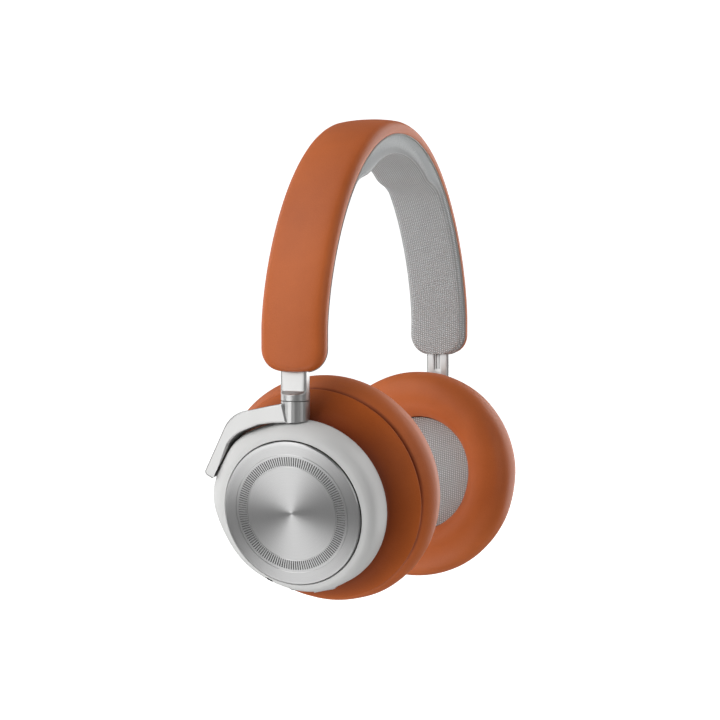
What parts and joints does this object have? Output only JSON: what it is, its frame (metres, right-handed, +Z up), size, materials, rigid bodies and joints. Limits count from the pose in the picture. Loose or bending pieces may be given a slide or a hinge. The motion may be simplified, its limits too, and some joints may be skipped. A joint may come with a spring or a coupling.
{
  "type": "over ear headphones",
  "caption": "Wireless over ear headphones: padded leather headband, sliding and swivelling one-sided yoke arms, tilting round cups with leather cushions and metal touch discs.",
  "frame": {"origin": "the point at the middle of the headband pad's underside, where the crown of the head sits", "axes": "+Z up, X from ear to ear with the wearer's right ear at -X, and the wearer faces -Y"},
  "size_m": [0.1884, 0.0954, 0.2063],
  "materials": {
    "cover": "fine-grained tan leather, satin",
    "cushion_leather": "soft tan leather, satin",
    "knit": "pale grey spacer knit, matt",
    "shell": "warm grey, satin",
    "satin_aluminium": "bead-blasted, anodised",
    "turned_aluminium": "fine circular turning, polished rim",
    "steel": "plain",
    "bronze": "plain",
    "inner_plastic": "black, matt",
    "control_plastic": "black, satin",
    "bush_plastic": "natural acetal",
    "gasket_rubber": "black, matt",
    "board": "green laminate",
    "copper": "enamelled wire",
    "cell": "foil pouch"
  },
  "bodies": {
    "headband": {"headband_cover": "cover", "headband_pad": "knit", "headband_spring": "steel", "headband_frame": "inner_plastic", "slider_guide_left": "inner_plastic", "slider_guide_right": "inner_plastic"},
    "slider_right": {"slider_right": "satin_aluminium", "swivel_pin_right": "steel", "swivel_washer_right": "bush_plastic"},
    "yoke_right": {"yoke_arm_right": "satin_aluminium", "swivel_bush_right": "bronze", "tilt_pin_right": "steel"},
    "cup_right": {"cup_housing_right": "shell", "touch_disc_right": "turned_aluminium", "disc_gasket_right": "gasket_rubber", "tilt_bush_right": "bush_plastic", "circuit_board_right": "board", "cup_chassis_right": "inner_plastic", "driver_frame_right": "inner_plastic", "driver_magnet_right": "steel", "voice_coil_right": "copper", "diaphragm_right": "inner_plastic", "driver_guard_right": "inner_plastic", "driver_cloth_right": "knit", "cushion_ring_right": "inner_plastic", "ear_cushion_right": "cushion_leather", "cushion_skirt_right": "cushion_leather", "mic_mesh_right": "inner_plastic", "battery": "cell", "usb_socket": "steel", "jack_socket": "inner_plastic"},
    "slider_left": {"slider_left": "satin_aluminium", "swivel_pin_left": "steel", "swivel_washer_left": "bush_plastic"},
    "yoke_left": {"yoke_arm_left": "satin_aluminium", "swivel_bush_left": "bronze", "tilt_pin_left": "steel"},
    "cup_left": {"cup_housing_left": "shell", "touch_disc_left": "turned_aluminium", "disc_gasket_left": "gasket_rubber", "tilt_bush_left": "bush_plastic", "circuit_board_left": "board", "cup_chassis_left": "inner_plastic", "driver_frame_left": "inner_plastic", "driver_magnet_left": "steel", "voice_coil_left": "copper", "diaphragm_left": "inner_plastic", "driver_guard_left": "inner_plastic", "driver_cloth_left": "knit", "cushion_ring_left": "inner_plastic", "ear_cushion_left": "cushion_leather", "cushion_skirt_left": "cushion_leather", "mic_mesh_left": "inner_plastic"},
    "power_switch": {"power_switch": "control_plastic"},
    "listening_button": {"listening_button": "control_plastic"},
    "assistant_button": {"assistant_button": "control_plastic"}
  },
  "joints": [
    {"name": "right_slider_slide", "type": "slide", "parent": "headband", "child": "slider_right", "axis": [0, 0, -1], "range_m": [-0.006, 0.015]},
    {"name": "right_yoke_swivel", "type": "hinge", "parent": "slider_right", "child": "yoke_right", "pos_m": [-0.0829, 0, -0.10155], "axis": [0, 0, 1], "range_deg": [-12, 90]},
    {"name": "right_cup_tilt", "type": "hinge", "parent": "yoke_right", "child": "cup_right", "pos_m": [-0.082, 0, -0.1285], "axis": [0, 1, 0], "range_deg": [-0.5, 12]},
    {"name": "left_slider_slide", "type": "slide", "parent": "headband", "child": "slider_left", "axis": [0, 0, -1], "range_m": [-0.0093, 0.0117]},
    {"name": "left_yoke_swivel", "type": "hinge", "parent": "slider_left", "child": "yoke_left", "pos_m": [0.0829, 0, -0.10485], "axis": [0, 0, 1], "range_deg": [-88.5, 13.5]},
    {"name": "left_cup_tilt", "type": "hinge", "parent": "yoke_left", "child": "cup_left", "pos_m": [0.082, 0.00002, -0.1318], "axis": [0.0262, 0.9997, 0], "range_deg": [-9.5, 3]},
    {"name": "power_switch_slide", "type": "slide", "parent": "cup_right", "child": "power_switch", "axis": [0.1261, -0.5592, -0.8194], "range_m": [0, 0.004]},
    {"name": "listening_button_press", "type": "slide", "parent": "cup_left", "child": "listening_button", "axis": [0.0322, -0.8672, 0.497], "range_m": [0, 0.0008], "stiffness_N_per_m": 600},
    {"name": "assistant_button_press", "type": "slide", "parent": "cup_left", "child": "assistant_button", "axis": [0.0607, -0.6965, 0.715], "range_m": [0, 0.0008], "stiffness_N_per_m": 600}
  ]
}
